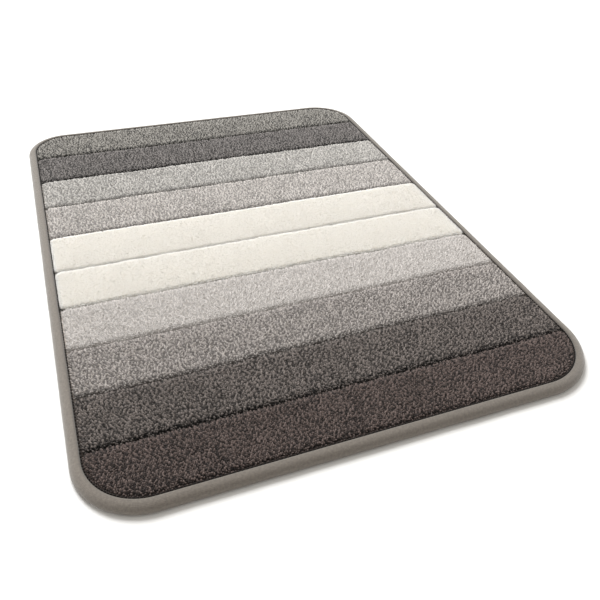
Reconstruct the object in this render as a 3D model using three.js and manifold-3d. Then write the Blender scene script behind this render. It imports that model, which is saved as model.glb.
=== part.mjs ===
// Bath mat: a foam core between a plush face of ten coloured bands and an anti-slip backing, with the edge
// held in a folded binding tape. Millimetres, +Z up; the mat lies flat on z = 0, centred on the Z axis.
// X runs along the bands, Y across them, and band 1 is at +Y.
import * as THREE from "three";
import { mergeVertices } from "three/addons/utils/BufferGeometryUtils.js";
import Module from "manifold-3d";

// ---- driving dimensions ----
const MAT_WIDTH = 500;
const MAT_LENGTH = 670;
// The four corners are cut by hand and differ a little.
const CORNER_RADIUS = { backLeft: 53, backRight: 60, frontLeft: 60, frontRight: 70 };
const CORNER_SEGMENTS = 12;

// Centre lines of the nine grooves, from the back of the mat to its front.
const GROOVE_Y = [258, 191, 123.5, 52, -15, -80, -144, -207, -268];
const GROOVE_HALF_WIDTH = 1.1;

// Heights of the layers above the floor.
const BACKING_THICKNESS = 1.2;
const BACKING_PEAK = 2.6;
const LAYER_GAP = 0.35;
const FOAM_TOP = 7.7;
const FOAM_VALLEY = FOAM_TOP - 1.4;
const FOAM_EDGE_ROUND = 1.2;
const CLOTH_BOTTOM = FOAM_TOP + LAYER_GAP;
const CLOTH_TOP = 8.75;
const SHOULDER_FOOT = CLOTH_TOP + 0.6;
const PILE_TOP = 12.6;
const PILE_EDGE_ROUND = 2.2;

// Binding tape, folded round the edge like a letter C that opens inwards.
const BINDING_WIDTH = 10;
const BINDING_HEIGHT = 10.5;
const BINDING_ROUND = 3.5;
const TAPE_THICKNESS = 1.45;

// The layers reach into the binding up to this distance from the outside of the mat.
const LAYER_INSET = TAPE_THICKNESS + 0.9;
// Ditch between the binding and what stands inside it; the seam lies in it.
const DITCH_WIDTH = 1.7;
const DITCH_INSET = BINDING_WIDTH + DITCH_WIDTH / 2;
const FACE_INSET = BINDING_WIDTH + DITCH_WIDTH;

const THREAD_RADIUS = 0.4;
const THREAD_SIDES = 8;
const STITCH_CLEARANCE = 0.35;
const NEEDLE_THREAD_Z = CLOTH_TOP + STITCH_CLEARANCE + THREAD_RADIUS;
const BOBBIN_THREAD_Z = 0.85;
// Notch in the underside that the lower thread of a groove lies in.
const NOTCH_BASE = 1.1;
const NOTCH_PEAK = 0.7;
const NOTCH_DEPTH = BACKING_PEAK - 0.85;

// ---- colours ----
const BAND_COLOURS = [
  "#8d8a85", "#757270", "#b9b4af", "#a9a49e", "#ebe7dc",
  "#ebe6da", "#bfb9b3", "#938d87", "#655d59", "#534a45",
];
const BINDING_COLOUR = "#9c958c";
const FOAM_COLOUR = "#e9e4d4";
const BACKING_COLOUR = "#8f8b85";
const SEAM_COLOUR = "#3d3835";

const wasm = await Module();
wasm.setup();

// ---- working with solids ----
function solid(geometry) {
  const plain = geometry.clone();
  plain.deleteAttribute("normal");
  plain.deleteAttribute("uv");
  const merged = mergeVertices(plain, 1e-4);
  return new wasm.Manifold(
    new wasm.Mesh({
      numProp: 3,
      vertProperties: merged.getAttribute("position").array,
      triVerts: new Uint32Array(merged.index.array),
    }),
  );
}

function geometryOf(manifold) {
  const mesh = manifold.getMesh();
  const geometry = new THREE.BufferGeometry();
  geometry.setAttribute("position", new THREE.BufferAttribute(mesh.vertProperties, 3));
  geometry.setIndex(new THREE.BufferAttribute(mesh.triVerts, 1));
  const flat = geometry.toNonIndexed();
  flat.computeVertexNormals();
  return flat;
}

// Outline of the mat drawn in by "inset"; the corners keep their centres.
function outline(inset, PathClass = THREE.Shape) {
  const x = MAT_WIDTH / 2;
  const y = MAT_LENGTH / 2;
  const corners = [
    [x, -y, CORNER_RADIUS.frontRight, -Math.PI / 2],
    [x, y, CORNER_RADIUS.backRight, 0],
    [-x, y, CORNER_RADIUS.backLeft, Math.PI / 2],
    [-x, -y, CORNER_RADIUS.frontLeft, Math.PI],
  ];
  const points = [];
  for (const [cornerX, cornerY, radius, start] of corners) {
    const centreX = cornerX - Math.sign(cornerX) * radius;
    const centreY = cornerY - Math.sign(cornerY) * radius;
    for (let i = 0; i <= CORNER_SEGMENTS; i++) {
      const angle = start + ((Math.PI / 2) * i) / CORNER_SEGMENTS;
      points.push(
        new THREE.Vector2(
          centreX + (radius - inset) * Math.cos(angle),
          centreY + (radius - inset) * Math.sin(angle),
        ),
      );
    }
  }
  return new PathClass(points);
}

// Plate with the mat's outline between two heights.
function plate(inset, bottom, top) {
  return new THREE.ExtrudeGeometry(outline(inset), {
    depth: top - bottom,
    bevelEnabled: false,
  }).translate(0, 0, bottom);
}

// Plate whose upper and lower edges are rounded.
function roundedPlate(inset, bottom, top, round, hole = null) {
  const shape = outline(inset + round);
  if (hole !== null) shape.holes.push(outline(hole - round, THREE.Path));
  return new THREE.ExtrudeGeometry(shape, {
    depth: top - bottom - 2 * round,
    bevelEnabled: true,
    bevelThickness: round,
    bevelSize: round,
    bevelSegments: 4,
  }).translate(0, 0, bottom + round);
}

// Bar along X across the whole mat, from a closed profile of [y, z] points.
function barAlongX(profile) {
  const shape = new THREE.Shape(profile.map(([y, z]) => new THREE.Vector2(y, z)));
  return new THREE.ExtrudeGeometry(shape, {
    depth: MAT_WIDTH,
    bevelEnabled: false,
  })
    .rotateX(Math.PI / 2)
    .rotateZ(Math.PI / 2)
    .translate(-MAT_WIDTH / 2, 0, 0);
}

// ---- the pieces ----
// Front and back limit of each band, from the outside of the mat or the middle of a groove.
const BAND_LIMITS = [MAT_LENGTH / 2, ...GROOVE_Y, -MAT_LENGTH / 2];

// Top of a padded strip between two y values: a low pillow with round shoulders.
function pillowTop(yFrom, yTo, edgeZ, crownZ) {
  const steps = 14;
  const points = [];
  for (let i = 0; i <= steps; i++) {
    const across = -Math.cos((Math.PI * i) / steps);
    const rise = Math.pow(1 - Math.pow(Math.abs(across), 6), 0.45);
    points.push([
      (yFrom + yTo) / 2 + (across * (yTo - yFrom)) / 2,
      edgeZ + (crownZ - edgeZ) * rise,
    ]);
  }
  return points;
}

// One band: a plush strip whose base cloth runs on under the binding.
function plushBand(index) {
  const isFirst = index === 0;
  const isLast = index === BAND_COLOURS.length - 1;
  const back = BAND_LIMITS[index] - (isFirst ? 0 : LAYER_GAP / 2);
  const front = BAND_LIMITS[index + 1] + (isLast ? 0 : LAYER_GAP / 2);
  const pileBack = BAND_LIMITS[index] - (isFirst ? 0 : GROOVE_HALF_WIDTH);
  const pileFront = BAND_LIMITS[index + 1] + (isLast ? 0 : GROOVE_HALF_WIDTH);
  const cloth = solid(
    barAlongX([
      [front, CLOTH_BOTTOM],
      [back, CLOTH_BOTTOM],
      [back, CLOTH_TOP],
      [front, CLOTH_TOP],
    ]),
  ).intersect(solid(plate(LAYER_INSET, CLOTH_BOTTOM - 1, CLOTH_TOP + 1)));
  const pile = solid(
    barAlongX([
      [pileBack, CLOTH_BOTTOM],
      ...pillowTop(pileFront, pileBack, SHOULDER_FOOT, PILE_TOP).reverse(),
      [pileFront, CLOTH_BOTTOM],
    ]),
  ).intersect(solid(roundedPlate(FACE_INSET, 0, PILE_TOP, PILE_EDGE_ROUND)));
  return geometryOf(cloth.add(pile));
}

// Line across the mat from front to back at "level", with a flat-topped hump up to "peak" at each groove.
function humpedLine(level, peak, baseHalfWidth, peakHalfWidth) {
  const points = [[-MAT_LENGTH / 2, level]];
  for (const y of [...GROOVE_Y].reverse()) {
    points.push(
      [y - baseHalfWidth, level],
      [y - peakHalfWidth, peak],
      [y + peakHalfWidth, peak],
      [y + baseHalfWidth, level],
    );
  }
  points.push([MAT_LENGTH / 2, level]);
  return points;
}

// Foam slab: a valley above each groove, where the stitches pull it down, a slot below, and a thinner rim.
function foamCore() {
  const rimBottom = BACKING_PEAK + LAYER_GAP;
  const top = [];
  for (let i = BAND_COLOURS.length - 1; i >= 0; i--) {
    top.push(...pillowTop(BAND_LIMITS[i + 1], BAND_LIMITS[i], FOAM_VALLEY, FOAM_TOP).slice(0, -1));
  }
  top.push([MAT_LENGTH / 2, FOAM_VALLEY]);
  const upper = barAlongX([[MAT_LENGTH / 2, rimBottom], ...top.reverse(), [-MAT_LENGTH / 2, rimBottom]]);
  const lower = barAlongX([
    ...humpedLine(
      BACKING_THICKNESS + LAYER_GAP,
      rimBottom,
      NOTCH_BASE + BACKING_THICKNESS + LAYER_GAP,
      NOTCH_PEAK + BACKING_THICKNESS + LAYER_GAP,
    ),
    [MAT_LENGTH / 2, FOAM_VALLEY],
    [-MAT_LENGTH / 2, FOAM_VALLEY],
  ]);
  const upperOutline = roundedPlate(LAYER_INSET, rimBottom, FOAM_TOP, FOAM_EDGE_ROUND);
  const lowerOutline = plate(FACE_INSET + BACKING_THICKNESS + LAYER_GAP, 0, FOAM_TOP);
  const slab = solid(upper).intersect(solid(upperOutline));
  return geometryOf(slab.add(solid(lower).intersect(solid(lowerOutline))));
}

// Base cloth: it lies on the floor, humps up over the thread under each groove, and steps up at its rim to go
// inside the binding.
function antiSlipBacking() {
  const rimBottom = TAPE_THICKNESS + LAYER_GAP;
  const cloth = barAlongX([
    ...humpedLine(0, NOTCH_DEPTH, NOTCH_BASE, NOTCH_PEAK),
    ...humpedLine(
      BACKING_THICKNESS,
      BACKING_PEAK,
      NOTCH_BASE + BACKING_THICKNESS,
      NOTCH_PEAK + BACKING_THICKNESS,
    ).reverse(),
  ]);
  const sheet = solid(cloth).intersect(solid(plate(FACE_INSET, 0, BACKING_PEAK)));
  const step = solid(plate(FACE_INSET, 0, BACKING_PEAK));
  const rim = solid(plate(LAYER_INSET, rimBottom, BACKING_PEAK));
  const inside = solid(plate(FACE_INSET + BACKING_THICKNESS, -1, BACKING_PEAK + 1));
  return geometryOf(sheet.add(step.add(rim).subtract(inside)));
}

function edgeBinding() {
  const bead = solid(roundedPlate(0, 0, BINDING_HEIGHT, BINDING_ROUND, BINDING_WIDTH));
  const pocket = solid(plate(TAPE_THICKNESS, TAPE_THICKNESS, BINDING_HEIGHT - TAPE_THICKNESS));
  return geometryOf(bead.subtract(pocket));
}

// Thread that follows the ditch all the way round.
function seamThread(z) {
  const bevel = THREAD_RADIUS / 2;
  const shape = outline(DITCH_INSET - bevel);
  shape.holes.push(outline(DITCH_INSET + bevel, THREE.Path));
  return new THREE.ExtrudeGeometry(shape, {
    depth: THREAD_RADIUS,
    bevelEnabled: true,
    bevelThickness: bevel,
    bevelSize: bevel,
    bevelSegments: 1,
  }).translate(0, 0, z - THREAD_RADIUS / 2);
}

// Straight thread that lies in one groove and stops short of the ditch seam.
function grooveThread() {
  const endInset = FACE_INSET + BACKING_THICKNESS + STITCH_CLEARANCE;
  const length = MAT_WIDTH - 2 * endInset;
  return new THREE.CylinderGeometry(
    THREAD_RADIUS, THREAD_RADIUS, length, THREAD_SIDES,
  ).rotateZ(Math.PI / 2);
}

// ---- assembly ----
function named(name, geometry, colour, roughness) {
  const material = new THREE.MeshStandardMaterial({ color: colour, roughness, metalness: 0 });
  const mesh = new THREE.Mesh(geometry, material);
  mesh.name = name;
  return mesh;
}

function twoDigits(number) {
  return String(number).padStart(2, "0");
}

const bathMat = new THREE.Group();
bathMat.name = "bath_mat";

bathMat.add(named("anti_slip_backing", antiSlipBacking(), BACKING_COLOUR, 0.85));
bathMat.add(named("foam_core", foamCore(), FOAM_COLOUR, 0.95));
BAND_COLOURS.forEach((colour, index) => {
  bathMat.add(named("plush_band_" + twoDigits(index + 1), plushBand(index), colour, 1));
});
bathMat.add(named("edge_binding", edgeBinding(), BINDING_COLOUR, 0.8));
bathMat.add(named("binding_seam_top", seamThread(NEEDLE_THREAD_Z), SEAM_COLOUR, 0.7));
bathMat.add(named("binding_seam_under", seamThread(BOBBIN_THREAD_Z), SEAM_COLOUR, 0.7));

GROOVE_Y.forEach((y, index) => {
  const number = twoDigits(index + 1);
  const needle = named("groove_thread_top_" + number, grooveThread(), SEAM_COLOUR, 0.7);
  needle.position.set(0, y, NEEDLE_THREAD_Z);
  const bobbin = named("groove_thread_under_" + number, grooveThread(), SEAM_COLOUR, 0.7);
  bobbin.position.set(0, y, BOBBIN_THREAD_Z);
  bathMat.add(needle, bobbin);
});

export default bathMat;
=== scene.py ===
import math
from collections import namedtuple

import bpy
import numpy as np
from mathutils import Matrix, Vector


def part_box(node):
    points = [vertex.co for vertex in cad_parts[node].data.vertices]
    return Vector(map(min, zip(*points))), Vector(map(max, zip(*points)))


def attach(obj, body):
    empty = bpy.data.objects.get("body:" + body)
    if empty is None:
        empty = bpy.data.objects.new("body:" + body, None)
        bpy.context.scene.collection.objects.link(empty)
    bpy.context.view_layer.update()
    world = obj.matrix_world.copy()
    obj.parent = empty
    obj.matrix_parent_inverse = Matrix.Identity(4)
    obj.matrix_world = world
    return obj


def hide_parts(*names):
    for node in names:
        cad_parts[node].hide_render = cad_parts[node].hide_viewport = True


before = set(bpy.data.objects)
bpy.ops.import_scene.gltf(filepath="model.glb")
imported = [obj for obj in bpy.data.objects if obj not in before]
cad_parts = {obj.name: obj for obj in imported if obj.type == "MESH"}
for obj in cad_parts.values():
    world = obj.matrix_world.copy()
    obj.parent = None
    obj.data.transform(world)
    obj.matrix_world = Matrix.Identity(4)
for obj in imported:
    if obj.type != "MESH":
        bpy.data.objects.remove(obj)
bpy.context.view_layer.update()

MM = 0.001
QUARTER_TURN = math.pi / 2
FULL_TURN = 2 * math.pi
rng = np.random.default_rng(20)

# ---- camera: as far off and as steep as the mat was seen ----
CAMERA_PLACE = (-0.2062, -0.6229, 0.4388)
CAMERA_HEADING = math.radians(22.96)
CAMERA_DIP = math.radians(39.25)
CAMERA_ROLL = math.radians(3.24)
LENS_MM = 38.51
SENSOR_MM = 36.0
NEAREST_SEEN = 10 * MM


def add_camera():
    data = bpy.data.cameras.new("camera")
    data.lens = LENS_MM
    data.sensor_width = SENSOR_MM
    data.clip_start = NEAREST_SEEN
    camera = bpy.data.objects.new("camera", data)
    bpy.context.scene.collection.objects.link(camera)
    turned = Matrix.Rotation(-CAMERA_HEADING, 4, "Z")
    tilted = Matrix.Rotation(QUARTER_TURN - CAMERA_DIP, 4, "X")
    rolled = Matrix.Rotation(CAMERA_ROLL, 4, "Z")
    camera.matrix_world = Matrix.Translation(CAMERA_PLACE) @ turned @ tilted @ rolled
    bpy.context.scene.camera = camera


# ---- places from the frame; band 1 is the rear one ----
def node_box(name):
    low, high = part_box(name)
    return np.array(low), np.array(high)


BAND_NODES = sorted(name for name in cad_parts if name.startswith("plush_band_"))
BAND_BOXES = [node_box(name) for name in BAND_NODES]
BAND_COUNT = len(BAND_NODES)
_, (HALF_WIDTH, HALF_LENGTH, BINDING_TOP) = node_box("edge_binding")
CLOTH_BOTTOM = BAND_BOXES[0][0][2]
PILE_TOP = BAND_BOXES[0][1][2]
LAYER_INSET = HALF_WIDTH - BAND_BOXES[0][1][0]
GROOVES = [(BAND_BOXES[i][0][1] + BAND_BOXES[i + 1][1][1]) / 2 for i in range(BAND_COUNT - 1)]
SEAM_LOW, SEAM_HIGH = node_box("binding_seam_top")
THREAD_RADIUS = (SEAM_HIGH[2] - SEAM_LOW[2]) / 2
SEAM_INSET = HALF_WIDTH - SEAM_HIGH[0] + THREAD_RADIUS
SEAM_Z = (SEAM_LOW[2] + SEAM_HIGH[2]) / 2
UNDER_SEAM_Z = float(np.mean([corner[2] for corner in node_box("binding_seam_under")]))

# ---- sizes the frame doesn't hold ----
# Radii of the outline's corners, by side: (left or right, front or back).
CORNER_RADIUS = {(-1, 1): 53 * MM, (1, 1): 60 * MM, (-1, -1): 60 * MM, (1, -1): 70 * MM}
BINDING_WIDTH = 10 * MM
TAPE_THICKNESS = 1.3 * MM
CLOTH_THICKNESS = 0.7 * MM
# The upper layers are trimmed back where the tape rounds over them.
FOAM_INSET = LAYER_INSET + 1.4 * MM
PILE_CLOTH_INSET = LAYER_INSET + 3.6 * MM
# The stitches draw the foam and the pile's cloth down at each groove.
GROOVE_PULL = 2.2 * MM
GROOVE_PULL_REACH = 4 * MM

# ---- seeded unevenness ----
# The noise grid repeats after so many cells, and the mat's middle lies at a cell far from its start.
NOISE_CELLS = 64
NOISE_START = 1000
GROOVE_WANDER = 0.8 * MM
GROOVE_WANDER_LENGTH = 60 * MM
GROOVE_LANE = 0.1


def smooth_step(share):
    return share * share * (3 - 2 * share)


def smooth_noise(x, y, size, seed):
    """Soft random hills from -1 to 1, about "size" metres across."""
    grid = np.random.default_rng(seed).uniform(-1, 1, (NOISE_CELLS, NOISE_CELLS))
    u, v = x / size + NOISE_START, y / size + NOISE_START
    i, j = np.floor(u).astype(int), np.floor(v).astype(int)
    a, b = smooth_step(u - i), smooth_step(v - j)
    i, j = i % NOISE_CELLS, j % NOISE_CELLS
    next_i, next_j = (i + 1) % NOISE_CELLS, (j + 1) % NOISE_CELLS
    near = grid[i, j] * (1 - a) + grid[next_i, j] * a
    far = grid[i, next_j] * (1 - a) + grid[next_i, next_j] * a
    return near * (1 - b) + far * b


def line_noise(along, size, seed, lane=0.0):
    """The same hills along one line; lines in different lanes differ."""
    return smooth_noise(along, np.full_like(along, lane), size, seed)


# ---- outline of the mat ----
def corner_centre(side_x, side_y):
    """Middle of the arc that rounds one corner."""
    radius = CORNER_RADIUS[side_x, side_y]
    return np.array([side_x * (HALF_WIDTH - radius), side_y * (HALF_LENGTH - radius)])


def rim_stations(step):
    """Points round the outer edge and their outward normals, anticlockwise from the front right corner."""
    corners = [(1, -1), (1, 1), (-1, 1), (-1, -1)]
    points, normals = [], []
    for index, corner in enumerate(corners):
        radius = CORNER_RADIUS[corner]
        arc_steps = round(radius * QUARTER_TURN / step)
        angles = (index - 1) * QUARTER_TURN + np.linspace(0, QUARTER_TURN, arc_steps + 1)
        arc_normals = np.stack([np.cos(angles), np.sin(angles)], axis=1)
        arc = corner_centre(*corner) + radius * arc_normals
        next_corner = corners[(index + 1) % len(corners)]
        side_end = corner_centre(*next_corner) + CORNER_RADIUS[next_corner] * arc_normals[-1]
        side_steps = round(np.linalg.norm(side_end - arc[-1]) / step)
        shares = np.arange(1, side_steps)[:, None] / side_steps
        points += [arc, arc[-1] + shares * (side_end - arc[-1])]
        normals += [arc_normals, np.repeat(arc_normals[-1:], side_steps - 1, axis=0)]
    return np.concatenate(points), np.concatenate(normals)


def distance_along(points):
    """Distance run at each point of a line."""
    steps = np.linalg.norm(np.diff(points, axis=0), axis=1)
    return np.concatenate([[0], np.cumsum(steps)])


def inside_distance(x, y):
    """How far a point is inside the mat's outer edge; negative outside."""
    radius = np.zeros_like(x)
    for (side_x, side_y), corner_radius in CORNER_RADIUS.items():
        in_quarter = ((x >= 0) == (side_x > 0)) & ((y >= 0) == (side_y > 0))
        radius[in_quarter] = corner_radius
    over_x = np.abs(x) - (HALF_WIDTH - radius)
    over_y = np.abs(y) - (HALF_LENGTH - radius)
    outside = np.hypot(np.maximum(over_x, 0), np.maximum(over_y, 0))
    return radius - outside - np.minimum(np.maximum(over_x, over_y), 0)


def outline_x(y, side_x, inset):
    """X of the outline at each y, on the left (side_x -1) or right (1), drawn in by "inset"."""
    limit = np.full_like(y, HALF_WIDTH - inset)
    for side_y in (-1, 1):
        radius = CORNER_RADIUS[side_x, side_y]
        inner = radius - inset
        over = np.clip(y * side_y - (HALF_LENGTH - radius), 0, inner)
        limit -= inner - np.sqrt(inner**2 - over**2)
    return side_x * limit


# ---- grooves ----
def groove_line(index, x):
    """Y of a groove along the mat: it wanders a little, as it was sewn."""
    wander = GROOVE_WANDER * line_noise(x, GROOVE_WANDER_LENGTH, seed=5, lane=index * GROOVE_LANE)
    return GROOVES[index] + wander


def groove_dip(y, depth, reach):
    """Dip of that depth at each groove, fading over "reach"."""
    away = np.abs(y[..., None] - np.array(GROOVES)).min(axis=-1)
    return depth * np.exp(-((away / reach) ** 2))


# ---- flat layers ----
# Extra lines where a layer changes fast: round each corner's turn, and across each groove.
TURN_SHARES = np.sin(np.linspace(0, QUARTER_TURN, 15))
GROOVE_LINES = np.linspace(-5, 5, 11) * MM


def cross_lines(low, high, step, inset):
    """Y of the lines that divide a layer: closer together where the corners turn and at the grooves."""
    corner = max(CORNER_RADIUS.values())
    end = HALF_LENGTH - inset
    low, high = max(low, -end), min(high, end)
    turn = HALF_LENGTH - corner + (corner - inset) * TURN_SHARES
    beside = (np.array(GROOVES)[:, None] + GROOVE_LINES).ravel()
    lines = np.concatenate([np.arange(low, high, step), turn, -turn, beside, [high]])
    return np.unique(np.round(lines[(lines >= low) & (lines <= high)], 5))


def layer(box, step, inset, bottom, top):
    """Points and faces of a layer with the mat's outline, between a box's two y.

    Bottom and top are functions of x and y that give the heights of its two sides.
    """
    low, high = box
    lines = cross_lines(low[1], high[1], step, inset)
    left, right = outline_x(lines, -1, inset), outline_x(lines, 1, inset)
    columns = round(2 * HALF_WIDTH / step)
    x = left[:, None] + np.linspace(0, 1, columns + 1) * (right - left)[:, None]
    y = np.repeat(lines[:, None], columns + 1, axis=1)
    upper = np.stack([x, y, top(x, y)], axis=2).reshape(-1, 3)
    lower = np.stack([x, y, bottom(x, y)], axis=2).reshape(-1, 3)
    total, size, last = len(upper), columns + 1, len(lines) - 1
    line, column = np.mgrid[0:last, 0:columns]
    first = (line * size + column).ravel()
    face = np.stack([first, first + 1, first + size + 1, first + size], axis=1)
    border = np.concatenate(
        [
            np.arange(columns),
            np.arange(last) * size + columns,
            last * size + np.arange(columns, 0, -1),
            np.arange(last, 0, -1) * size,
        ]
    )
    ahead = np.roll(border, -1)
    wall = np.stack([border + total, ahead + total, ahead, border], axis=1)
    return np.concatenate([upper, lower]), [face, face[:, ::-1] + total, wall]


# ---- making meshes ----
MAP_MARGIN = 4 * MM
# A face is seen from below when the Z of its normal is less than this.
LOOKS_DOWN = -0.5


def new_object(name, vertices, faces):
    """Smooth mesh object from an array of points and a list of (rows of corner indices)."""
    mesh = bpy.data.meshes.new(name)
    corners = np.concatenate([np.ravel(rows) for rows in faces]).astype(np.int32)
    sizes = np.concatenate([np.full(len(rows), rows.shape[1]) for rows in faces])
    starts = np.concatenate([[0], np.cumsum(sizes)[:-1]]).astype(np.int32)
    mesh.vertices.add(len(vertices))
    mesh.vertices.foreach_set("co", np.asarray(vertices, np.float32).ravel())
    mesh.loops.add(len(corners))
    mesh.loops.foreach_set("vertex_index", corners)
    mesh.polygons.add(len(sizes))
    mesh.polygons.foreach_set("loop_start", starts)
    mesh.update(calc_edges=True)
    mesh.polygons.foreach_set("use_smooth", np.ones(len(sizes), bool))
    mesh.validate()
    thing = bpy.data.objects.new(name, mesh)
    bpy.context.scene.collection.objects.link(thing)
    return thing


def tube_faces(count, rings, sides):
    """Walls and end caps of some tubes, whose points run tube by tube, ring by ring and side by side."""
    tube, ring, side = np.mgrid[0:count, 0 : rings - 1, 0:sides].reshape(3, -1)
    first = (tube * rings + ring) * sides
    beside = (side + 1) % sides
    walls = np.stack(
        [first + side, first + beside, first + sides + beside, first + sides + side], axis=1
    )
    root = np.arange(count)[:, None] * rings * sides
    start_caps = root + np.arange(sides)[::-1]
    end_caps = root + (rings - 1) * sides + np.arange(sides)
    return [walls, start_caps, end_caps]


def set_uv(thing, name, coordinates):
    """UV layer from one (u, v) per corner."""
    uv_layer = thing.data.uv_layers.new(name=name)
    uv_layer.uv.foreach_set("vector", np.asarray(coordinates, np.float32).ravel())


def set_tone(thing, values):
    """Per-point tone that the material reads; it holds painted light and shade as well as random tone."""
    tone = thing.data.attributes.new("tone", "FLOAT", "POINT")
    tone.data.foreach_set("value", np.asarray(values, np.float32))


def read_all(collection, key, per_item, kind):
    """One property of every item of a mesh's collection, as an array."""
    found = np.zeros(len(collection) * per_item, kind)
    collection.foreach_get(key, found)
    return found.reshape(-1, per_item)


def fold_map(thing, rows):
    """Bake map seen from above and from below, cut along X into rows so that it fills the square."""
    mesh = thing.data
    corner_vertices = read_all(mesh.loops, "vertex_index", 1, np.int32)[:, 0]
    places = read_all(mesh.vertices, "co", 3, np.float32)[corner_vertices]
    corner_counts = read_all(mesh.polygons, "loop_total", 1, np.int32)[:, 0]
    faces = np.repeat(np.arange(len(corner_counts)), corner_counts)
    below = read_all(mesh.polygons, "normal", 3, np.float32)[:, 2] < LOOKS_DOWN
    centre_x = np.bincount(faces, places[:, 0]) / corner_counts
    low = places[:, :2].min(axis=0)
    high = places[:, :2].max(axis=0)
    part = (high[0] - low[0]) / rows
    row = np.clip(((centre_x - low[0]) / part).astype(int), 0, rows - 1)[faces]
    u = (places[:, 0] - low[0] - row * part + MAP_MARGIN) / (part + 2 * MAP_MARGIN)
    v = (places[:, 1] - low[1] + MAP_MARGIN) / (high[1] - low[1] + 2 * MAP_MARGIN)
    shelf = row + rows * below[faces]
    set_uv(thing, "OFBake", np.stack([u, (v + shelf) / (2 * rows)], axis=1))


# ---- plush: the look of each band ----
# colour: of the fibres. contrast: how strongly the pile's tone shows: painted shade between the tufts,
# painted highlight at their tips, and the random tone of each tuft.
# softness: 1 for a fine, even pile that fills its hollows, rolls less deep into its grooves and lets light
# through, and 0 for a coarse one.
BandLook = namedtuple("BandLook", "colour contrast softness")
BAND_LOOKS = [
    BandLook("8c8984", 1.0, 0.0),
    BandLook("75716f", 1.0, 0.0),
    BandLook("bab7b3", 0.6, 0.0),
    BandLook("c0bbb7", 0.6, 0.0),
    BandLook("cdc8bf", 0.02, 1.0),
    BandLook("cdc8bf", 0.02, 1.0),
    # Bands 7 to 10 are set darker than their fibres in full light, between their lit and shaded look: partly
    # painted shade.
    BandLook("c9c4c0", 0.28, 0.0),
    BandLook("9f9995", 0.7, 0.0),
    BandLook("68615d", 1.0, 0.0),
    BandLook("574c48", 1.0, 0.0),
]

# ---- plush: the padded surface of a band ----
PLUSH_INSET = BINDING_WIDTH + 1.7 * MM
END_ROUND = 6 * MM
GROOVE_GAP = 0.2 * MM
# Distance to the groove where a band has none: longer than any other.
NO_GROOVE = 1.0
SHOULDER = 6.5 * MM
SHOULDER_DROP = 3.4 * MM
SOFT_DROP_LOSS = 0.65
# The arc of a shoulder is longer than its plan: this much more pile is rolled over it.
ROLLED_LENGTH = (QUARTER_TURN - 1) * SHOULDER
CROWN = 1.6 * MM
CROWN_REACH = 14 * MM
SWELL = 0.25 * MM
SWELL_SIZE = 35 * MM
# How far a tuft of full height stands above the CAD's nap.
FLUFF = 0.4 * MM
PILE_CLOTH_STEP = 6 * MM
# How far to each side the slope of a distance is measured.
PROBE = 0.3 * MM

# ---- plush: the tufts ----
TUFT_PITCH = 2.05 * MM
TUFT_HEIGHT = 2.0 * MM
TUFT_SIDES = 6
# The rows of a honeycomb lie closer together than the points of a row.
ROW_STEP_SHARE = math.sqrt(3) / 2
# Spare rows and columns round a band's box.
SPARE_BEFORE = 2
SPARE_AFTER = 4
JITTER = 0.34
EDGE_TUFT = 0.35 * TUFT_PITCH
# How the pile spills over the edges of a groove, which differs from tuft to tuft.
RAGGED = 0.7 * MM
RAGGED_LENGTH = 2.5 * TUFT_PITCH
RAGGED_LANE = 0.37
# Strength of a tuft: how it differs from the mean, less its neighbours' share, plus wider clumps.
STRENGTH = 0.9
NEIGHBOUR_SHARE = 0.6
CLUMPING = 0.25
CLUMP_SIZE = 12 * MM
# Heights, as shares of the tuft's height.
MEAN_HEIGHT = 0.9
HEIGHT_SPREAD = 0.18
HEIGHT_LIMITS = (0.45, 1.3)
EDGE_HEIGHT = 0.55
EDGE_REACH = 4 * TUFT_PITCH
SOFT_EVENNESS = 0.7
RING_DROP = (0.05, 0.3)
SOFT_RING_EVENNESS = 0.6
SOFT_FILL = 0.8
FILL_SPREAD = (-0.6, 0.5)
MOST_FILL = 0.9
# Sideways shape: tips lean, and the ring round each tip is drawn out along the local grain.
LEAN = (0.1 * TUFT_PITCH, 0.42 * TUFT_PITCH)
BRUSHED = 0.22 * TUFT_PITCH
BRUSH_SIZE = 30 * MM
RING_LEAN = 0.55
RING_SPREAD = (0.42, 0.66)
RING_ROUND = 0.68
RING_GRAIN = 0.66
GRAIN_SIZE = 6 * MM
# Tones, from 0 in the dark to 1 in full light, painted into the pile's colour: painted highlight at the
# tips, painted shade in the hollows, random from tuft to tuft.
MEAN_TONE = 0.56
TONE_SPREAD = 0.47
TIP_LIGHT = 0.3
RING_DARK = 0.05
RING_TONE_SPREAD = 0.14
HOLLOW_TONE = 0.3
FILLED_TONE = 0.7
# The painted shade beside the grooves and the binding, which darkens the pile's tone.
DEEPEST_SHADE = 0.48
REAR_SHADE = 6 * MM
FRONT_SHADE = 11 * MM
RIM_SHADE = 4.2 * MM
RIM_SHADE_AT_FRONT = 0.6

UP, DOWN = 0, 1


def unit(x, y):
    """The two components of a direction, scaled to length one."""
    length = np.maximum(np.hypot(x, y), 1e-9)
    return x / length, y / length


def rim_distance(x, y):
    """How far a point is inside the line where the pile meets the binding."""
    return inside_distance(x, y) - PLUSH_INSET


def spill(edge, x):
    """How far the pile spills over one edge of a groove."""
    return RAGGED * line_noise(x, RAGGED_LENGTH, seed=7, lane=edge * RAGGED_LANE)


def rear_distance(index, x, y):
    """How far a point is in front of the groove behind its band."""
    if index == 0:
        return np.full_like(x, NO_GROOVE)
    return groove_line(index - 1, x) + spill(2 * index, x) - GROOVE_GAP - y


def front_distance(index, x, y):
    """How far a point is behind the groove in front of its band."""
    if index == BAND_COUNT - 1:
        return np.full_like(x, NO_GROOVE)
    return y - groove_line(index, x) + spill(2 * index + 1, x) - GROOVE_GAP


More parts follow.
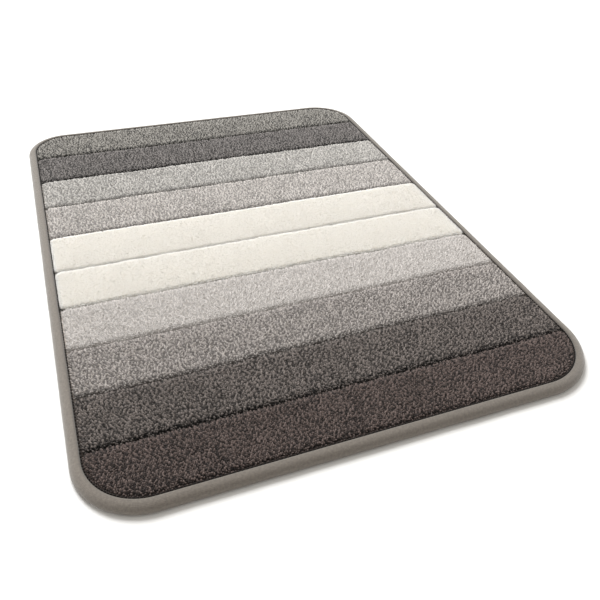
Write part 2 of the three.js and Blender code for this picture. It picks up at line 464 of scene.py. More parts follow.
def band_distance(index, x, y):
    """How far a point is inside the edge of one band, whose ends are rounded where it meets the binding."""
    rim = rim_distance(x, y)
    groove = np.minimum(rear_distance(index, x, y), front_distance(index, x, y))
    corner = END_ROUND - np.hypot(END_ROUND - rim, END_ROUND - groove)
    in_corner = (rim < END_ROUND) & (groove < END_ROUND)
    return np.where(in_corner, corner, np.minimum(rim, groove))


def straight_in(index, x, y):
    """Direction that leads straight in from the edge of a band."""
    rise_x = band_distance(index, x + PROBE, y) - band_distance(index, x - PROBE, y)
    rise_y = band_distance(index, x, y + PROBE) - band_distance(index, x, y - PROBE)
    return unit(rise_x, rise_y)


def plush_surface(index, x, y, lift):
    """Points "lift" above a band's padded surface; the lattice is wrapped over its round shoulders."""
    distance = band_distance(index, x, y)
    in_x, in_y = straight_in(index, x, y)
    turn = np.clip((distance + ROLLED_LENGTH) / SHOULDER, 0, QUARTER_TURN)
    placed = np.where(turn < QUARTER_TURN, SHOULDER * (1 - np.cos(turn)), distance)
    drop = SHOULDER_DROP * (1 - SOFT_DROP_LOSS * BAND_LOOKS[index].softness)
    foot = PILE_TOP + FLUFF - TUFT_HEIGHT - drop - CROWN
    crown = CROWN * (1 - np.exp(-np.maximum(placed, 0) / CROWN_REACH))
    swell = SWELL * smooth_noise(x, y, SWELL_SIZE, seed=11)
    outward, upward = unit(drop * np.cos(turn), SHOULDER * np.sin(turn))
    shift = placed - distance - outward * lift
    height = foot + crown + (drop + swell) * np.sin(turn) + upward * lift
    return np.stack([x + in_x * shift, y + in_y * shift, height], axis=1)


def tuft_lattice(low, high):
    """Jittered honeycomb of tuft centres, as rows and columns."""
    row_step = TUFT_PITCH * ROW_STEP_SHARE
    rows = int((high[1] - low[1]) / row_step) + SPARE_BEFORE + SPARE_AFTER
    columns = int((high[0] - low[0]) / TUFT_PITCH) + SPARE_BEFORE + SPARE_AFTER
    row, column = np.mgrid[0:rows, 0:columns]
    x = low[0] + (column - SPARE_BEFORE + 0.5 * (row % 2)) * TUFT_PITCH
    y = low[1] + (row - SPARE_BEFORE) * row_step
    x = x + rng.uniform(-JITTER, JITTER, x.shape) * TUFT_PITCH
    y = y + rng.uniform(-JITTER, JITTER, y.shape) * TUFT_PITCH
    return x, y


def hexagon_corners(columns, row, column):
    """Keys of the six hollows round each tuft, anticlockwise.

    A key is the tuft's number in the lattice, doubled, plus UP or DOWN for the way its three tufts point.
    """
    shift = column - 1 + row % 2
    around = [
        (row, column, UP),
        (row + 1, shift, DOWN),
        (row, column - 1, UP),
        (row, column - 1, DOWN),
        (row - 1, shift, UP),
        (row, column, DOWN),
    ]
    return np.stack([2 * (r * columns + c) + points for r, c, points in around], axis=1)


def hollow_places(x, y):
    """Where the hollows lie: the middle of each three neighbouring tufts, pointing up and pointing down."""
    rows, columns = x.shape
    row, column = np.mgrid[0:rows, 0:columns]
    right = np.minimum(column + 1, columns - 1)
    between = np.minimum(column + row % 2, columns - 1)
    above = np.minimum(row + 1, rows - 1)
    below = np.maximum(row - 1, 0)
    places = np.empty((rows * columns * 2, 2))
    for points, other in ((UP, above), (DOWN, below)):
        for axis, values in enumerate((x, y)):
            mean = (values + values[row, right] + values[other, between]) / 3
            places[points::2, axis] = mean.ravel()
    return places


def uneven_strengths(shape):
    """Random strength of each tuft, which differs most from its neighbours' and evens out over a few."""
    values = rng.normal(0, 1, shape)
    beside = sum(np.roll(values, shift, axis) for shift in (-1, 1) for axis in (0, 1)) / 4
    return STRENGTH * (values - NEIGHBOUR_SHARE * beside)


# centre: of each tuft, in plan. reach: how far the tuft is from the band's edge, over the shoulder.
# strength: of each tuft. hollow: places of the hollows. around: which six hollows are round each tuft.
Pile = namedtuple("Pile", "centre reach strength hollow around")


def lay_tufts(index):
    """The tufts of one band, where they stand on it and between which hollows."""
    low, high = BAND_BOXES[index]
    x, y = tuft_lattice(low[:2] - SHOULDER, high[:2] + SHOULDER)
    rows, columns = x.shape
    row, column = np.mgrid[1 : rows - 1, 1 : columns - 1].reshape(2, -1)
    reach = band_distance(index, x[row, column], y[row, column]) + ROLLED_LENGTH
    kept = reach > EDGE_TUFT
    row, column, reach = row[kept], column[kept], reach[kept]
    centre = np.stack([x[row, column], y[row, column]], axis=1)
    used, around = np.unique(hexagon_corners(columns, row, column), return_inverse=True)
    hollow = hollow_places(x, y)[used]
    strength = uneven_strengths(x.shape)[row, column]
    strength += CLUMPING * smooth_noise(*centre.T, CLUMP_SIZE, seed=21)
    return Pile(centre, reach, strength, hollow, around.reshape(-1, TUFT_SIDES))


def tip_heights(pile, softness):
    """Height of each tuft's tip; the tufts are lower towards the band's edge."""
    spread = HEIGHT_SPREAD * (1 - SOFT_EVENNESS * softness)
    share = np.clip(MEAN_HEIGHT + spread * pile.strength, *HEIGHT_LIMITS)
    at_edge = np.clip(EDGE_HEIGHT + pile.reach / EDGE_REACH, EDGE_HEIGHT, 1)
    return TUFT_HEIGHT * share * at_edge


def tip_leans(centre):
    """How far each tip leans off its root: to any side, and brushed a little along the band."""
    angle = rng.uniform(0, FULL_TURN, len(centre))
    size = rng.uniform(*LEAN, len(centre))
    lean = np.stack([np.cos(angle), np.sin(angle)], axis=1) * size[:, None]
    lean[:, 0] += BRUSHED * smooth_noise(*centre.T, BRUSH_SIZE, seed=22)
    return lean


def ring_places(pile, lean):
    """Plan of the six points round each tip, drawn out along the local grain."""
    out = pile.hollow[pile.around] - pile.centre[:, None]
    angle = FULL_TURN * smooth_noise(*pile.centre.T, GRAIN_SIZE, seed=23)
    grain = np.stack([np.cos(angle), np.sin(angle)], axis=1)[:, None]
    along_grain = (out * grain).sum(axis=2, keepdims=True) * grain
    spread = rng.uniform(*RING_SPREAD, (len(out), TUFT_SIDES, 1))
    drawn_out = spread * (RING_ROUND * out + RING_GRAIN * along_grain)
    return pile.centre[:, None] + RING_LEAN * lean[:, None] + drawn_out


def ring_heights(tip_height, softness):
    """Heights of the six points round each tip, each a little lower than the tip."""
    drop = rng.uniform(*RING_DROP, (len(tip_height), TUFT_SIDES))
    return tip_height[:, None] * (1 - (1 - SOFT_RING_EVENNESS * softness) * drop)


def hollow_fill(index, hollow, softness):
    """How full of fibres each hollow is, as a share of a tuft's height; at the band's edge it is empty."""
    uneven = (1 - SOFT_EVENNESS * softness) * rng.uniform(*FILL_SPREAD, len(hollow))
    filled = np.clip(SOFT_FILL * softness + uneven, 0, MOST_FILL)
    return filled * (band_distance(index, *hollow.T) > TUFT_PITCH)


def tuft_faces(around):
    """Caps and sides of the tufts; the points are all tips, then the rings, then the hollows."""
    count = len(around)
    tip = np.repeat(np.arange(count), TUFT_SIDES)
    ring = count + np.arange(count * TUFT_SIDES).reshape(count, TUFT_SIDES)
    hollow = count * (1 + TUFT_SIDES) + around
    next_ring = np.roll(ring, -1, axis=1).ravel()
    next_hollow = np.roll(hollow, -1, axis=1).ravel()
    caps = np.stack([tip, ring.ravel(), next_ring], axis=1)
    sides = np.stack([ring.ravel(), hollow.ravel(), next_hollow, next_ring], axis=1)
    return caps, sides


def skirt(points, starts, ends):
    """Wall from the pile's border down into its cloth.

    The tufts' outer edges run from starts to ends; those that no other edge runs back along are the border.
    """
    total = len(points)
    border = ~np.isin(starts * total + ends, ends * total + starts)
    starts, ends = starts[border], ends[border]
    ring = np.unique(starts)
    foot = points[ring]
    foot[:, 2] = cloth_bottom(foot[:, 0], foot[:, 1]) + CLOTH_THICKNESS / 2
    start_foot = total + np.searchsorted(ring, starts)
    end_foot = total + np.searchsorted(ring, ends)
    return foot, np.stack([ends, starts, start_foot, end_foot], axis=1)


def cloth_bottom(x, y):
    """Underside of the cloth that the pile stands in, drawn down into the foam at the grooves."""
    return CLOTH_BOTTOM - groove_dip(y, GROOVE_PULL, GROOVE_PULL_REACH)


def cloth_top(x, y):
    """Top of that cloth."""
    return cloth_bottom(x, y) + CLOTH_THICKNESS


def painted_daylight(index, x, y):
    """Painted shade: the share of light painted into the pile's tone, less beside the grooves and the
    binding.
    """
    from_rear = (rear_distance(index, x, y) + ROLLED_LENGTH) / REAR_SHADE
    from_front = (front_distance(index, x, y) + ROLLED_LENGTH) / FRONT_SHADE
    # 1 beside the front binding, where the shade is wider, and -1 beside the back one.
    facing = (rim_distance(x, y + PROBE) - rim_distance(x, y - PROBE)) / (2 * PROBE)
    rim_shade = RIM_SHADE * (1 + RIM_SHADE_AT_FRONT * facing)
    from_rim = (rim_distance(x, y) + ROLLED_LENGTH) / rim_shade
    lit = np.clip(np.minimum(np.minimum(from_rear, from_front), from_rim), 0, 1)
    return DEEPEST_SHADE + (1 - DEEPEST_SHADE) * lit


def pile_tones(index, pile, filled):
    """Tone of each tip, ring point and hollow: random from tuft to tuft, with a painted highlight at the
    tips, painted shade in the hollows and painted shade beside the grooves and the binding.
    """
    tint = MEAN_TONE + TONE_SPREAD * pile.strength
    ring_count = len(tint) * TUFT_SIDES
    ring_tint = np.repeat(tint - RING_DARK, TUFT_SIDES)
    ring_tint += rng.uniform(-RING_TONE_SPREAD, RING_TONE_SPREAD, ring_count)
    tone = np.concatenate([tint + TIP_LIGHT, ring_tint, HOLLOW_TONE + FILLED_TONE * filled])
    plan = np.concatenate([pile.centre, np.repeat(pile.centre, TUFT_SIDES, axis=0), pile.hollow])
    # Painted shade beside the grooves and the binding darkens every tone.
    return np.clip(tone, HOLLOW_TONE, 1) * painted_daylight(index, *plan.T)


def plush_name(index):
    """Name of a band's piece and of its material."""
    return f"plush_{index + 1:02d}"


def plush_mesh(index):
    """One band: thousands of small tufts on a padded strip, and the flat strip of cloth they stand in."""
    softness = BAND_LOOKS[index].softness
    pile = lay_tufts(index)
    tip_height = tip_heights(pile, softness)
    lean = tip_leans(pile.centre)
    ring = ring_places(pile, lean).reshape(-1, 2)
    ring_height = ring_heights(tip_height, softness).ravel()
    filled = hollow_fill(index, pile.hollow, softness)
    points = np.concatenate(
        [
            plush_surface(index, *(pile.centre + lean).T, tip_height),
            plush_surface(index, *ring.T, ring_height),
            plush_surface(index, *pile.hollow.T, filled * TUFT_HEIGHT),
        ]
    )
    caps, sides = tuft_faces(pile.around)
    skirt_points, skirt_faces = skirt(points, sides[:, 1], sides[:, 2])
    cloth_points, cloth_faces = layer(
        BAND_BOXES[index], PILE_CLOTH_STEP, PILE_CLOTH_INSET, cloth_bottom, cloth_top
    )
    hidden = np.concatenate([skirt_points, cloth_points])
    cloth_start = len(points) + len(skirt_points)
    thing = new_object(
        plush_name(index),
        np.concatenate([points, hidden]),
        [caps, sides, skirt_faces, *(rows + cloth_start for rows in cloth_faces)],
    )
    set_tone(thing, np.concatenate([pile_tones(index, pile, filled), np.zeros(len(hidden))]))
    fold_map(thing, rows=3)
    return thing


# ---- binding ----
# The tape's section: a small roll at the seam, a long slope out over the edge, and a round at the foot.
TAPE_ROLL = (1.8 * MM, 1.8 * MM)
TAPE_SLOPE = (8.2 * MM, 7.2 * MM)
TAPE_FOOT = (3.3 * MM, 3.3 * MM)
TAPE_END_LIFT = 0.05 * MM
TAPE_STEP = 2.2 * MM
PUCKER = 0.09 * MM
PUCKER_LENGTH = 11 * MM
WIDE_PUCKER_SHARE = 0.8
WIDE_PUCKER_LENGTH = 37 * MM
PUCKER_RISE = 0.6
# The tape's bake map: it is cut into rows, each with a margin and some room at its end.
TAPE_MAP_ROWS = 6
TAPE_MAP_MARGIN = 0.03
TAPE_MAP_ROOM = 1.03
TAPE_MAP_SPAN = 0.98
TAPE_MAP_START = 0.005


def elliptic_arc(centre, radii, start, end, count):
    """Points on an ellipse between two angles, which are given in half turns."""
    angle = np.linspace(start, end, count) * math.pi
    return np.stack([centre[0] + radii[0] * np.cos(angle), centre[1] + radii[1] * np.sin(angle)], axis=1)


def binding_section():
    """Closed section of the tape as (inset, height): out over the edge and under it, and back inside.

    With it come the distance run round it and how many of its points are on the outside.
    """
    roll_centre = (BINDING_WIDTH - TAPE_ROLL[0], BINDING_TOP - TAPE_ROLL[1])
    slope_centre = (TAPE_SLOPE[0], BINDING_TOP - TAPE_SLOPE[1])
    outer = np.concatenate(
        [
            elliptic_arc(roll_centre, TAPE_ROLL, start=0.04, end=0.5, count=8),
            elliptic_arc(slope_centre, TAPE_SLOPE, start=0.5, end=1.0, count=30),
            elliptic_arc(TAPE_FOOT, TAPE_FOOT, start=1.0, end=1.5, count=10),
            [(BINDING_WIDTH, TAPE_END_LIFT)],
        ]
    )
    ahead_inset, ahead_height = unit(*np.gradient(outer, axis=0).T)
    inner = outer + TAPE_THICKNESS * np.stack([-ahead_height, ahead_inset], axis=1)
    section = np.concatenate([outer, inner[::-1]])
    return section, distance_along(section), len(outer)


def binding():
    """The tape folded round the rim, with slight puckers where it is sewn down, and its cut size."""
    points, normals = rim_stations(TAPE_STEP)
    run = distance_along(points)
    length = run[-1] + np.linalg.norm(points[0] - points[-1])
    section, across, outer_count = binding_section()
    pucker = line_noise(run, PUCKER_LENGTH, seed=31)
    pucker += WIDE_PUCKER_SHARE * line_noise(run, WIDE_PUCKER_LENGTH, seed=32)
    crest = np.sin(np.clip(across / across[outer_count - 1], 0, 1) * math.pi)
    crest[outer_count:] = crest[:outer_count][::-1]
    swell = PUCKER * pucker[:, None] * crest
    inset = section[:, 0] - swell
    height = section[:, 1] + PUCKER_RISE * swell * (section[:, 1] > BINDING_TOP / 2)
    place = points[:, None] - normals[:, None] * inset[..., None]
    vertices = np.concatenate([place, height[..., None]], axis=2).reshape(-1, 3)
    thing = new_object("binding_tape", vertices, [sweep_faces(len(points), len(section))])
    tape_maps(thing, run, length, across)
    cut_width = across[-1] / 2
    return thing, (cut_width, length)


def sweep_faces(stations, size):
    """Quads of a closed section carried round a closed line."""
    station, side = np.mgrid[0:stations, 0:size].reshape(2, -1)
    here, ahead = station * size, (station + 1) % stations * size
    beside = (side + 1) % size
    return np.stack([here + side, here + beside, ahead + beside, ahead + side], axis=1)


def tape_maps(thing, run, length, across):
    """Map of the tape in metres for its knit, and a bake map that lays the tape out in rows."""
    station, side = np.mgrid[0 : len(run), 0 : len(across)].reshape(2, -1)
    full = across[-1] + TAPE_THICKNESS
    run_ends, across_ends = np.append(run, length), np.append(across, full)
    along = run_ends[np.stack([station, station, station + 1, station + 1], axis=1)]
    over = across_ends[np.stack([side, side + 1, side + 1, side], axis=1)]
    set_uv(thing, "tape", np.stack([along, over], axis=2))
    run_rows = run / length * TAPE_MAP_ROWS
    row = run_rows[station].astype(int)
    row_start = run_ends[np.searchsorted(run_rows, np.arange(TAPE_MAP_ROWS))]
    u = (along - row_start[row][:, None]) / (length / TAPE_MAP_ROWS * TAPE_MAP_ROOM)
    v = (over / full * (1 - 2 * TAPE_MAP_MARGIN) + TAPE_MAP_MARGIN + row[:, None]) / TAPE_MAP_ROWS
    set_uv(thing, "OFBake", np.stack([u * TAPE_MAP_SPAN + TAPE_MAP_START, v], axis=2))


# ---- stitching ----
STITCH_LENGTH = 2.9 * MM
STITCH_GAP = 0.7 * MM
STITCH_PITCH = STITCH_LENGTH + STITCH_GAP
RIM_STITCH_RADIUS = 0.7 * MM
STITCH_SIDES = 6
STITCH_STEPS = 4
STITCH_TIP = 0.45
# How far the tips of a stitch go into the mat: down from above, and up from below.
TOP_SINK = 0.5 * MM
UNDER_SINK = -0.4 * MM


def stitches(name, starts, ends, z, radius, sink):
    """A row of short threads, one from each start to each end, with thinner tips that dive by "sink"."""
    share = np.linspace(0, 1, STITCH_STEPS + 1)
    arch = np.sin(share * math.pi) ** 0.5
    thick = radius * (STITCH_TIP + (1 - STITCH_TIP) * arch)
    angle = np.arange(STITCH_SIDES) * FULL_TURN / STITCH_SIDES
    along = ends - starts
    side = np.stack(unit(-along[:, 1], along[:, 0]), axis=1)
    spine = starts[:, None] + share[:, None] * along[:, None]
    offset = np.outer(thick, np.cos(angle))[..., None] * side[:, None, None]
    flat = spine[:, :, None] + offset
    height = z - sink * (1 - arch)[:, None] + np.outer(thick, np.sin(angle))
    height = np.broadcast_to(height, flat.shape[:3])
    vertices = np.concatenate([flat, height[..., None]], axis=3).reshape(-1, 3)
    return new_object(name, vertices, tube_faces(len(starts), STITCH_STEPS + 1, STITCH_SIDES))


def rim_seam(name, z, sink):
    """Stitches all round the mat, where the binding meets the pile."""
    points, normals = rim_stations(STITCH_PITCH)
    starts = points - normals * SEAM_INSET
    ahead = np.roll(starts, -1, axis=0) - starts
    ends = starts + ahead * STITCH_LENGTH / STITCH_PITCH
    return stitches(name, starts, ends, z, RIM_STITCH_RADIUS, sink)


def groove_seam(name, index, z, sink):
    """Stitches along one groove."""
    low, high = node_box(f"groove_thread_top_{index + 1:02d}")
    starts = np.arange(low[0], high[0] - STITCH_LENGTH, STITCH_PITCH)
    ends = starts + STITCH_LENGTH
    return stitches(
        name,
        np.stack([starts, groove_line(index, starts)], axis=1),
        np.stack([ends, groove_line(index, ends)], axis=1),
        z,
        THREAD_RADIUS,
        sink,
    )


# ---- foam and base cloth ----
DOT_PITCH = 9 * MM
DOT_RADIUS = 1.5 * MM
DOT_HEIGHT = 0.7 * MM
DOT_SIDES = 8
# A dot's rings from its tip up into the cloth: (share of its radius, height).
DOT_RINGS = [(0.6, 0.08 * DOT_HEIGHT), (0.92, 0.45 * DOT_HEIGHT), (1.0, DOT_HEIGHT + 0.05 * MM)]
DOT_CLEARANCE = 1.4 * MM
BASE_THICKNESS = 0.6 * MM
BASE_STEP = 4 * MM
FOAM_STEP = 5 * MM
LAYER_GAP = 0.1 * MM
# The base cloth lies flat further in than FLAT_INSET and climbs onto the folded tape over FOLD_CLIMB.
FLAT_INSET = BINDING_WIDTH + 6 * MM
FOLD_CLIMB = 5 * MM
FOLD_LIFT = TAPE_THICKNESS + LAYER_GAP - DOT_HEIGHT
UNDER_PULL = 0.9 * MM
UNDER_PULL_REACH = 2.5 * MM
FOAM_PULL_REACH = 1.2 * GROOVE_PULL_REACH


def fold_lift(x, y):
    """How far the base cloth climbs onto the tape that is folded under the rim."""
    return FOLD_LIFT * smooth_step(np.clip((FLAT_INSET - inside_distance(x, y)) / FOLD_CLIMB, 0, 1))


def base_bottom(x, y):
    """Underside of the base cloth, drawn up at the grooves by their stitches."""
    return DOT_HEIGHT + np.maximum(fold_lift(x, y), groove_dip(y, UNDER_PULL, UNDER_PULL_REACH))


def base_top(x, y):
    """Top of the base cloth."""
    return base_bottom(x, y) + BASE_THICKNESS


def foam_core():
    """Foam slab, drawn in at the grooves from above and below."""
    low, high = node_box("foam_core")
    points, faces = layer(
        (low, high),
        FOAM_STEP,
        FOAM_INSET,
        lambda x, y: base_top(x, y) + LAYER_GAP,
        lambda x, y: high[2] - groove_dip(y, GROOVE_PULL, FOAM_PULL_REACH),
    )
    thing = new_object("foam_slab", points, faces)
    fold_map(thing, rows=1)
    return thing


def base_sheet():
    """Base cloth just off the floor; rows of rubbery dots under it touch the floor."""
    points, faces = layer(node_box("anti_slip_backing"), BASE_STEP, LAYER_INSET, base_bottom, base_top)
    thing = new_object("base_cloth", points, faces)
    fold_map(thing, rows=1)
    return thing


def dot_places():
    """Staggered rows of dots, clear of the folded tape and of the grooves' stitches."""
    row_step = DOT_PITCH * ROW_STEP_SHARE
    rows, columns = int(2 * HALF_LENGTH / row_step), int(2 * HALF_WIDTH / DOT_PITCH)
    row, column = np.mgrid[0:rows, 0:columns].reshape(2, -1)
    x = (column - (columns - 1) / 2 + 0.25 - 0.5 * (row % 2)) * DOT_PITCH
    y = (row - (rows - 1) / 2) * row_step
    clear = inside_distance(x, y) > FLAT_INSET
    for groove in GROOVES:
        clear &= np.abs(y - groove) > DOT_RADIUS + DOT_CLEARANCE
    return x[clear], y[clear]


def grip_dots():
    """Low domes on the underside of the base cloth."""
    x, y = dot_places()
    angle = np.arange(DOT_SIDES) * FULL_TURN / DOT_SIDES
    rings = []
    for share, z in DOT_RINGS:
        ring_x = x[:, None] + DOT_RADIUS * share * np.cos(angle)
        ring_y = y[:, None] + DOT_RADIUS * share * np.sin(angle)
        rings.append(np.stack([ring_x, ring_y, np.full_like(ring_x, z)], axis=2))
    vertices = np.stack(rings, axis=1).reshape(-1, 3)
    thing = new_object("grip_dots", vertices, tube_faces(len(x), len(DOT_RINGS), DOT_SIDES))
    fold_map(thing, rows=1)
    return thing


# ---- materials ----
TAPE_COLOUR = "79726a"
# The seam thread's near-black colour is partly its own and partly painted shade of the ditch it lies in.
SEAM_THREAD_AND_SHADE_COLOUR = "1c1815"
FOAM_COLOUR = "e9e4d4"
BASE_CLOTH_COLOUR = "8f8b85"
RUBBER_COLOUR = "b5b1ab"
GLOW_DEPTH = 8 * MM
# How much the fine noise of the fibres adds to the pile's tone.
FIBRE_TONE = 0.12
# Painted shade on the tape beside the seam: how far in it reaches, and how dark it is at the seam.
SEAM_SHADE_REACH = 5 * MM
SEAM_SHADE = 0.75


def srgb(text):
    """Linear colour from six hex digits."""
    values = [int(text[i : i + 2], 16) / 255 for i in (0, 2, 4)]
    return [v / 12.92 if v <= 0.04045 else ((v + 0.055) / 1.055) ** 2.4 for v in values] + [1.0]


def scaled(colour, share):
    return [min(1.0, c * share) for c in colour[:3]] + [1.0]


def groove_shade_colour(colour, contrast):
    """Painted shade down in a groove: the fibres' colour made darker and a little browner, the more so where
    the pile is dark.
    """
    share = 0.95 - 0.47 * contrast
    return [c * share * tint for c, tint in zip(colour, (1, 0.92, 0.84))] + [1.0]


def new_material(name, roughness, sheen=0.0):
    """Matt material, with its node tree and its shader."""
    material = bpy.data.materials.new(name)
    material.use_nodes = True
    tree = material.node_tree
    shader = tree.nodes["Principled BSDF"]
    shader.inputs["Roughness"].default_value = roughness
    shader.inputs["Sheen Weight"].default_value = sheen
    shader.inputs["Sheen Roughness"].default_value = 0.5
    shader.inputs["Specular IOR Level"].default_value = 0.2
    return material, tree, shader


def add_node(tree, kind, **settings):
    """Node of that kind; a setting is an input's value or, where no input has its name, a property."""
    node = tree.nodes.new(kind)
    for key, value in settings.items():
        if key in node.inputs:
            node.inputs[key].default_value = value
        else:
            setattr(node, key, value)
    return node


def colour_ramp(tree, stops):
    ramp = tree.nodes.new("ShaderNodeValToRGB")
    elements = ramp.color_ramp.elements
    elements[0].position, elements[0].color = stops[0]
    elements[1].position, elements[1].color = stops[-1]
    for position, colour in stops[1:-1]:
        elements.new(position).color = colour
    return ramp


def plush_material(index):
    """Looped microfibre, with painted shade between the tufts and in the grooves and a painted highlight at
    their tips; soft fibres let light through.
    """
    look = BAND_LOOKS[index]
    colour = srgb(look.colour)
    material, tree, shader = new_material(plush_name(index), roughness=0.95, sheen=0.15)
    shader.inputs["Subsurface Weight"].default_value = look.softness
    shader.inputs["Subsurface Radius"].default_value = (1, 0.95, 0.9)
    shader.inputs["Subsurface Scale"].default_value = GLOW_DEPTH
    tone = add_node(tree, "ShaderNodeAttribute", attribute_name="tone")
    place = add_node(tree, "ShaderNodeTexCoord")
    fibre = add_node(tree, "ShaderNodeTexNoise", Scale=2200.0, Detail=3.0, Roughness=0.75)
    mixed = add_node(tree, "ShaderNodeMath", operation="MULTIPLY_ADD")
    mixed.inputs[1].default_value = FIBRE_TONE
    # The ramp turns tone into colour: painted groove shade at 0, painted shade in the hollows, the fibres'
    # colour, and a painted highlight at the tips.
    ramp = colour_ramp(
        tree,
        [
            (0.0, groove_shade_colour(colour, look.contrast)),
            (HOLLOW_TONE, scaled(colour, 1 - look.contrast)),
            (0.65, colour),
            (1.0, scaled(colour, 1 + 0.9 * look.contrast)),
        ],
    )
    bump = add_node(tree, "ShaderNodeBump", Strength=0.7, Distance=0.6 * MM)
    link = tree.links.new
    link(place.outputs["Object"], fibre.inputs["Vector"])
    link(fibre.outputs["Fac"], mixed.inputs[0])
    link(tone.outputs["Fac"], mixed.inputs[2])
    link(mixed.outputs[0], ramp.inputs["Fac"])
    link(ramp.outputs["Color"], shader.inputs["Base Color"])
    link(fibre.outputs["Fac"], bump.inputs["Height"])
    link(bump.outputs["Normal"], shader.inputs["Normal"])
    return material


def tape_material():
    """Fine knitted tape, in rows of small loops, with painted shade along its edge beside the seam."""
    colour = srgb(TAPE_COLOUR)
    material, tree, shader = new_material("binding_knit", roughness=0.7, sheen=0.45)
    place = add_node(tree, "ShaderNodeUVMap", uv_map="tape")
    ribs = add_node(tree, "ShaderNodeTexWave", bands_direction="X", Scale=320.0, Distortion=0.6)
    courses = add_node(tree, "ShaderNodeTexWave", bands_direction="Y", Scale=260.0, Distortion=0.6)
    blotch = add_node(tree, "ShaderNodeTexNoise", Scale=450.0, Detail=4.0, Roughness=0.6)
    product = add_node(tree, "ShaderNodeMath", operation="MULTIPLY")
    ramp = colour_ramp(tree, [(0.3, scaled(colour, 0.78)), (0.7, scaled(colour, 1.15))])
    axes = add_node(tree, "ShaderNodeSeparateXYZ")
    # Painted shade: the tape's colour darkens towards its edge at the seam.
    shade = add_node(tree, "ShaderNodeMapRange", interpolation_type="SMOOTHSTEP")
    shade.inputs["From Max"].default_value = SEAM_SHADE_REACH
    shade.inputs["To Min"].default_value = SEAM_SHADE
    shaded = add_node(tree, "ShaderNodeVectorMath", operation="SCALE")
    bump = add_node(tree, "ShaderNodeBump", Strength=0.5, Distance=0.3 * MM)
    link = tree.links.new
    link(place.outputs["UV"], axes.inputs[0])
    link(axes.outputs["Y"], shade.inputs["Value"])
    link(ramp.outputs["Color"], shaded.inputs[0])
    link(shade.outputs["Result"], shaded.inputs["Scale"])
    for texture in (ribs, courses, blotch):
        link(place.outputs["UV"], texture.inputs["Vector"])
    link(ribs.outputs["Fac"], product.inputs[0])
    link(courses.outputs["Fac"], product.inputs[1])
    link(product.outputs[0], bump.inputs["Height"])
    link(blotch.outputs["Fac"], ramp.inputs["Fac"])
    link(shaded.outputs["Vector"], shader.inputs["Base Color"])
    link(bump.outputs["Normal"], shader.inputs["Normal"])
    return material


def noisy_material(name, colour, roughness, scale, spread, bump_depth, sheen=0.0):
    """Colour and relief broken up by fine noise."""
    material, tree, shader = new_material(name, roughness, sheen)
    place = add_node(tree, "ShaderNodeTexCoord")
    noise = add_node(tree, "ShaderNodeTexNoise", Scale=scale, Detail=4.0)
    ramp = colour_ramp(tree, [(0.3, scaled(colour, 1 - spread)), (0.7, scaled(colour, 1 + spread))])
    bump = add_node(tree, "ShaderNodeBump", Strength=0.5, Distance=bump_depth)
    link = tree.links.new
    link(place.outputs["Object"], noise.inputs["Vector"])
    link(noise.outputs["Fac"], ramp.inputs["Fac"])
    link(ramp.outputs["Color"], shader.inputs["Base Color"])
    link(noise.outputs["Fac"], bump.inputs["Height"])
    link(bump.outputs["Normal"], shader.inputs["Normal"])
    return material


def thread_material(name, colour):
    return noisy_material(
        name, colour, roughness=0.6, scale=900.0, spread=0.25, bump_depth=0.2 * MM, sheen=0.1
    )


def groove_thread_colour(index):
    """Thread coloured like the bottom of the groove between two bands: their colour with the groove's
    painted shade.
    """
    pair = BAND_LOOKS[index : index + 2]
    colour = np.mean([srgb(look.colour) for look in pair], axis=0)
    return groove_shade_colour(colour, np.mean([look.contrast for look in pair]))


# ---- putting it together ----
def finish_piece(thing, material, slot, *nodes):
    """Gives a piece its material and its body, and hides the CAD nodes it stands for; the slot is not used.
    """
    thing.data.materials.append(material)
    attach(thing, "root")
    if nodes:
        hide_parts(*nodes)


def add_plush():
    for index, node in enumerate(BAND_NODES):
        band = plush_mesh(index)
        finish_piece(band, plush_material(index), plush_name(index), node)


def add_binding():
    tape, tape_cut = binding()
    finish_piece(tape, tape_material(), "binding", "edge_binding")


def add_rim_seams():
    # The seam thread's colour holds painted shade of the ditch.
    thread = thread_material("seam_thread", srgb(SEAM_THREAD_AND_SHADE_COLOUR))
    for side, z, sink in (("top", SEAM_Z, TOP_SINK), ("under", UNDER_SEAM_Z, UNDER_SINK)):
        seam = rim_seam(f"seam_stitches_{side}", z, sink)
        finish_piece(seam, thread, "thread", f"binding_seam_{side}")


def add_groove_seams():
    sides = (("top", SEAM_Z - GROOVE_PULL, TOP_SINK), ("under", UNDER_SEAM_Z, UNDER_SINK))
    for index in range(BAND_COUNT - 1):
        number = f"{index + 1:02d}"
        # Each groove's thread is coloured with the groove's painted shade.
        thread = thread_material(f"groove_thread_{number}", groove_thread_colour(index))
        for side, z, sink in sides:
            seam = groove_seam(f"groove_stitches_{side}_{number}", index, z, sink)
            finish_piece(seam, thread, "thread", f"groove_thread_{side}_{number}")


def add_foam():
    foam = foam_core()
    material = noisy_material(
        "foam", srgb(FOAM_COLOUR), roughness=0.9, scale=700.0, spread=0.08, bump_depth=0.4 * MM
    )
    finish_piece(foam, material, "foam", "foam_core")


def add_base_cloth():
    sheet, dots = base_sheet(), grip_dots()
    cloth = noisy_material(
        "base_cloth", srgb(BASE_CLOTH_COLOUR), roughness=0.85, scale=1100.0, spread=0.12, bump_depth=0.2 * MM
    )
    finish_piece(sheet, cloth, "backing", "anti_slip_backing")
    rubber = noisy_material(
        "grip_rubber", srgb(RUBBER_COLOUR), roughness=0.45, scale=500.0, spread=0.05, bump_depth=0.1 * MM
    )
    finish_piece(dots, rubber, "backing")


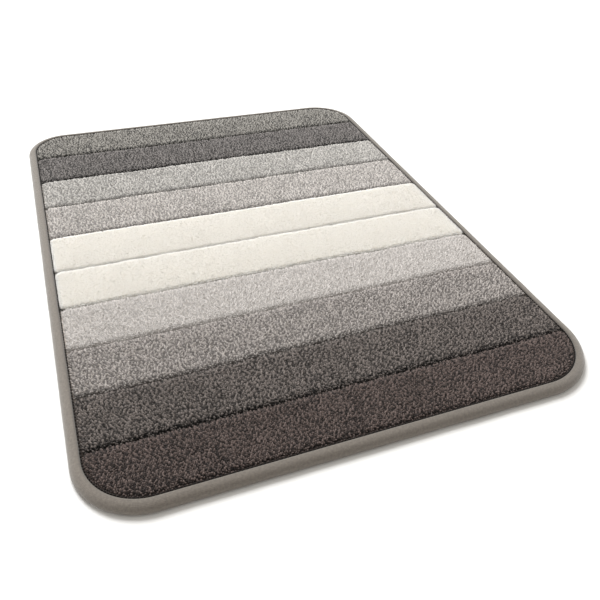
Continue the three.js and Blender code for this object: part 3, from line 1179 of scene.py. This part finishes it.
# ---- floor and light ----
FLOOR_SIZE = 6.0
FLOOR_COLOUR = (0.9, 0.9, 0.89, 1)
# The room's light comes from all sides, and a little more from behind the mat.
ROOM_COLOUR = (1, 0.96, 0.905, 1)
ROOM_STRENGTH = 0.62
ROOM_STRENGTH_BEHIND = 0.16
KEY_PLACE = (-0.5, 2.9, 3.6)
KEY_SIZE = 2.4
KEY_POWER = 270
KEY_COLOUR = (0.97, 0.985, 1.0)


def add_floor():
    corners = [(-1, -1, 0), (1, -1, 0), (1, 1, 0), (-1, 1, 0)]
    floor = new_object("floor", FLOOR_SIZE * np.array(corners), [np.array([[0, 1, 2, 3]])])
    material, _, shader = new_material("floor", roughness=0.9)
    shader.inputs["Base Color"].default_value = FLOOR_COLOUR
    floor.data.materials.append(material)


def add_room_light():
    world = bpy.data.worlds.new("studio")
    world.use_nodes = True
    tree = world.node_tree
    background = tree.nodes["Background"]
    background.inputs["Color"].default_value = ROOM_COLOUR
    direction = add_node(tree, "ShaderNodeTexCoord")
    axes = add_node(tree, "ShaderNodeSeparateXYZ")
    strength = add_node(tree, "ShaderNodeMath", operation="MULTIPLY_ADD")
    strength.inputs[1].default_value = ROOM_STRENGTH_BEHIND
    strength.inputs[2].default_value = ROOM_STRENGTH
    tree.links.new(direction.outputs["Generated"], axes.inputs[0])
    tree.links.new(axes.outputs["Y"], strength.inputs[0])
    tree.links.new(strength.outputs[0], background.inputs["Strength"])
    bpy.context.scene.world = world
    bpy.context.scene.view_settings.view_transform = "Standard"


def add_key_light():
    """Square soft light behind the mat that faces its middle."""
    data = bpy.data.lights.new("key", "AREA")
    data.size = KEY_SIZE
    data.energy = KEY_POWER
    data.color = KEY_COLOUR
    light = bpy.data.objects.new("key", data)
    light.location = KEY_PLACE
    light.rotation_euler = (-light.location).to_track_quat("-Z", "Y").to_euler()
    bpy.context.scene.collection.objects.link(light)


add_camera()
add_plush()
add_binding()
add_rim_seams()
add_groove_seams()
add_foam()
add_base_cloth()
add_floor()
add_room_light()
add_key_light()
